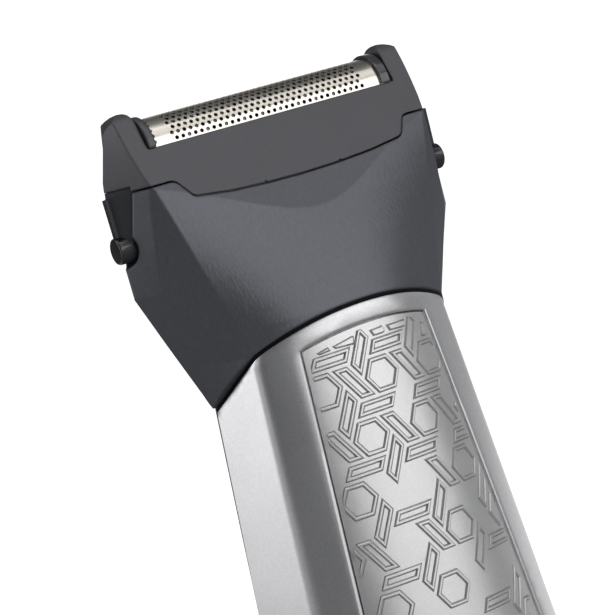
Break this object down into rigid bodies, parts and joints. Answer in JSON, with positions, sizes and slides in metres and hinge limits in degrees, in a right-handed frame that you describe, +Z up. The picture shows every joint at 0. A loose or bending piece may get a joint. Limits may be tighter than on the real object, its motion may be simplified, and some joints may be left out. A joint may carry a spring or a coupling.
{
  "type": "body groomer",
  "caption": "Cordless body groomer: flared handle with a patterned front panel, faceted foil head with side ears, arched foil cutter, side release buttons and front power button.",
  "frame": {"origin": "middle of the flat foot under the handle", "axes": "+Z up the handle to the foil, -Y out of the patterned front, X across the foil"},
  "size_m": [0.0478, 0.0357, 0.175],
  "materials": {
    "satin_silver": "satin metallic lacquer with fine flake",
    "patterned_silver": "satin silver with raised outline pattern",
    "black_grip": "soft-touch matte",
    "black_plastic": "fine matte",
    "charcoal_plastic": "moulded grain",
    "charcoal_matte": "fine matte",
    "gloss_black": "polished",
    "bright_trim": "polished ring",
    "clear_lens": "clear",
    "foil_nickel": "bright nickel",
    "inner_plastic": "natural",
    "spring_steel": "bright wire",
    "blade_steel": "ground",
    "screw_steel": "plated",
    "contact_metal": "plated",
    "battery_wrap": "shrink sleeve",
    "board_green": "solder mask",
    "magnet_grey": "sintered",
    "winding_copper": "laminations and windings",
    "seal_rubber": "matte"
  },
  "bodies": {
    "handle": {"front_shell": "satin_silver", "pattern_panel": "patterned_silver", "rear_shell": "black_grip", "bottom_cap": "black_grip", "cap_screws": "screw_steel", "charge_inlet": "black_plastic", "inlet_contacts": "contact_metal", "chassis": "inner_plastic", "shell_screws": "screw_steel", "battery_cell": "battery_wrap", "battery_tabs": "contact_metal", "circuit_board": "board_green", "board_screws": "screw_steel", "board_components": "black_plastic", "switch_body": "black_plastic", "status_led": "clear_lens", "light_pipe": "clear_lens", "button_bezel": "bright_trim", "motor_can": "blade_steel", "motor_end_cap": "inner_plastic", "motor_magnets": "magnet_grey", "motor_bracket": "inner_plastic", "motor_screws": "screw_steel", "guide_rods": "screw_steel", "neck_collar": "black_plastic", "neck_oring": "seal_rubber", "drive_seal": "seal_rubber"},
    "power_button": {"power_button": "gloss_black", "switch_plunger": "inner_plastic"},
    "rotor": {"motor_shaft": "screw_steel", "rotor_core": "winding_copper", "eccentric": "inner_plastic"},
    "drive": {"drive_bridge": "inner_plastic", "drive_post": "screw_steel"},
    "head": {"head_housing": "charcoal_plastic", "head_base": "black_plastic"},
    "carriage": {"cutter_carriage": "inner_plastic", "cutter_springs": "spring_steel"},
    "cutter": {"blade_holder": "inner_plastic", "cutter_blades": "blade_steel"},
    "foil_head": {"foil_frame": "charcoal_matte", "shaving_foil": "foil_nickel", "foil_end_plate_left": "gloss_black", "foil_end_plate_right": "gloss_black"},
    "release_left": {"release_button_left": "black_plastic"},
    "release_right": {"release_button_right": "black_plastic"}
  },
  "joints": [
    {"name": "power_button_press", "type": "slide", "parent": "handle", "child": "power_button", "axis": [0, 1, 0], "range_m": [0, 0.0008], "stiffness_N_per_m": 600, "springref_m": -0.0005},
    {"name": "motor_spin", "type": "hinge", "parent": "handle", "child": "rotor", "pos_m": [0, 0, 0.093], "axis": [0, 0, 1], "continuous": true},
    {"name": "drive_slide", "type": "slide", "parent": "handle", "child": "drive", "axis": [1, 0, 0], "range_m": [-0.0008, 0.0008]},
    {"name": "head_pull", "type": "slide", "parent": "handle", "child": "head", "axis": [0, 0, 1], "range_m": [0, 0.025]},
    {"name": "cutter_slide", "type": "slide", "parent": "head", "child": "carriage", "axis": [1, 0, 0], "range_m": [-0.0008, 0.0008]},
    {"name": "cutter_float", "type": "slide", "parent": "carriage", "child": "cutter", "axis": [0, 0, 1], "range_m": [-0.001, 0], "stiffness_N_per_m": 300, "springref_m": 0.002, "deforming": ["cutter_springs"]},
    {"name": "foil_frame_lift", "type": "slide", "parent": "head", "child": "foil_head", "axis": [0, 0, 1], "range_m": [0, 0.014]},
    {"name": "release_left_press", "type": "hinge", "parent": "foil_head", "child": "release_left", "pos_m": [-0.0206, 0, 0.1661], "axis": [0, 1, 0], "range_deg": [-7, 0], "stiffness_Nm_per_rad": 0.05, "springref_deg": 2.86},
    {"name": "release_right_press", "type": "hinge", "parent": "foil_head", "child": "release_right", "pos_m": [0.0206, 0, 0.1661], "axis": [0, 1, 0], "range_deg": [0, 7], "stiffness_Nm_per_rad": 0.05, "springref_deg": -2.86}
  ],
  "couplings": [
    {"joint": "cutter_slide", "follows": "drive_slide", "ratio": 1}
  ]
}
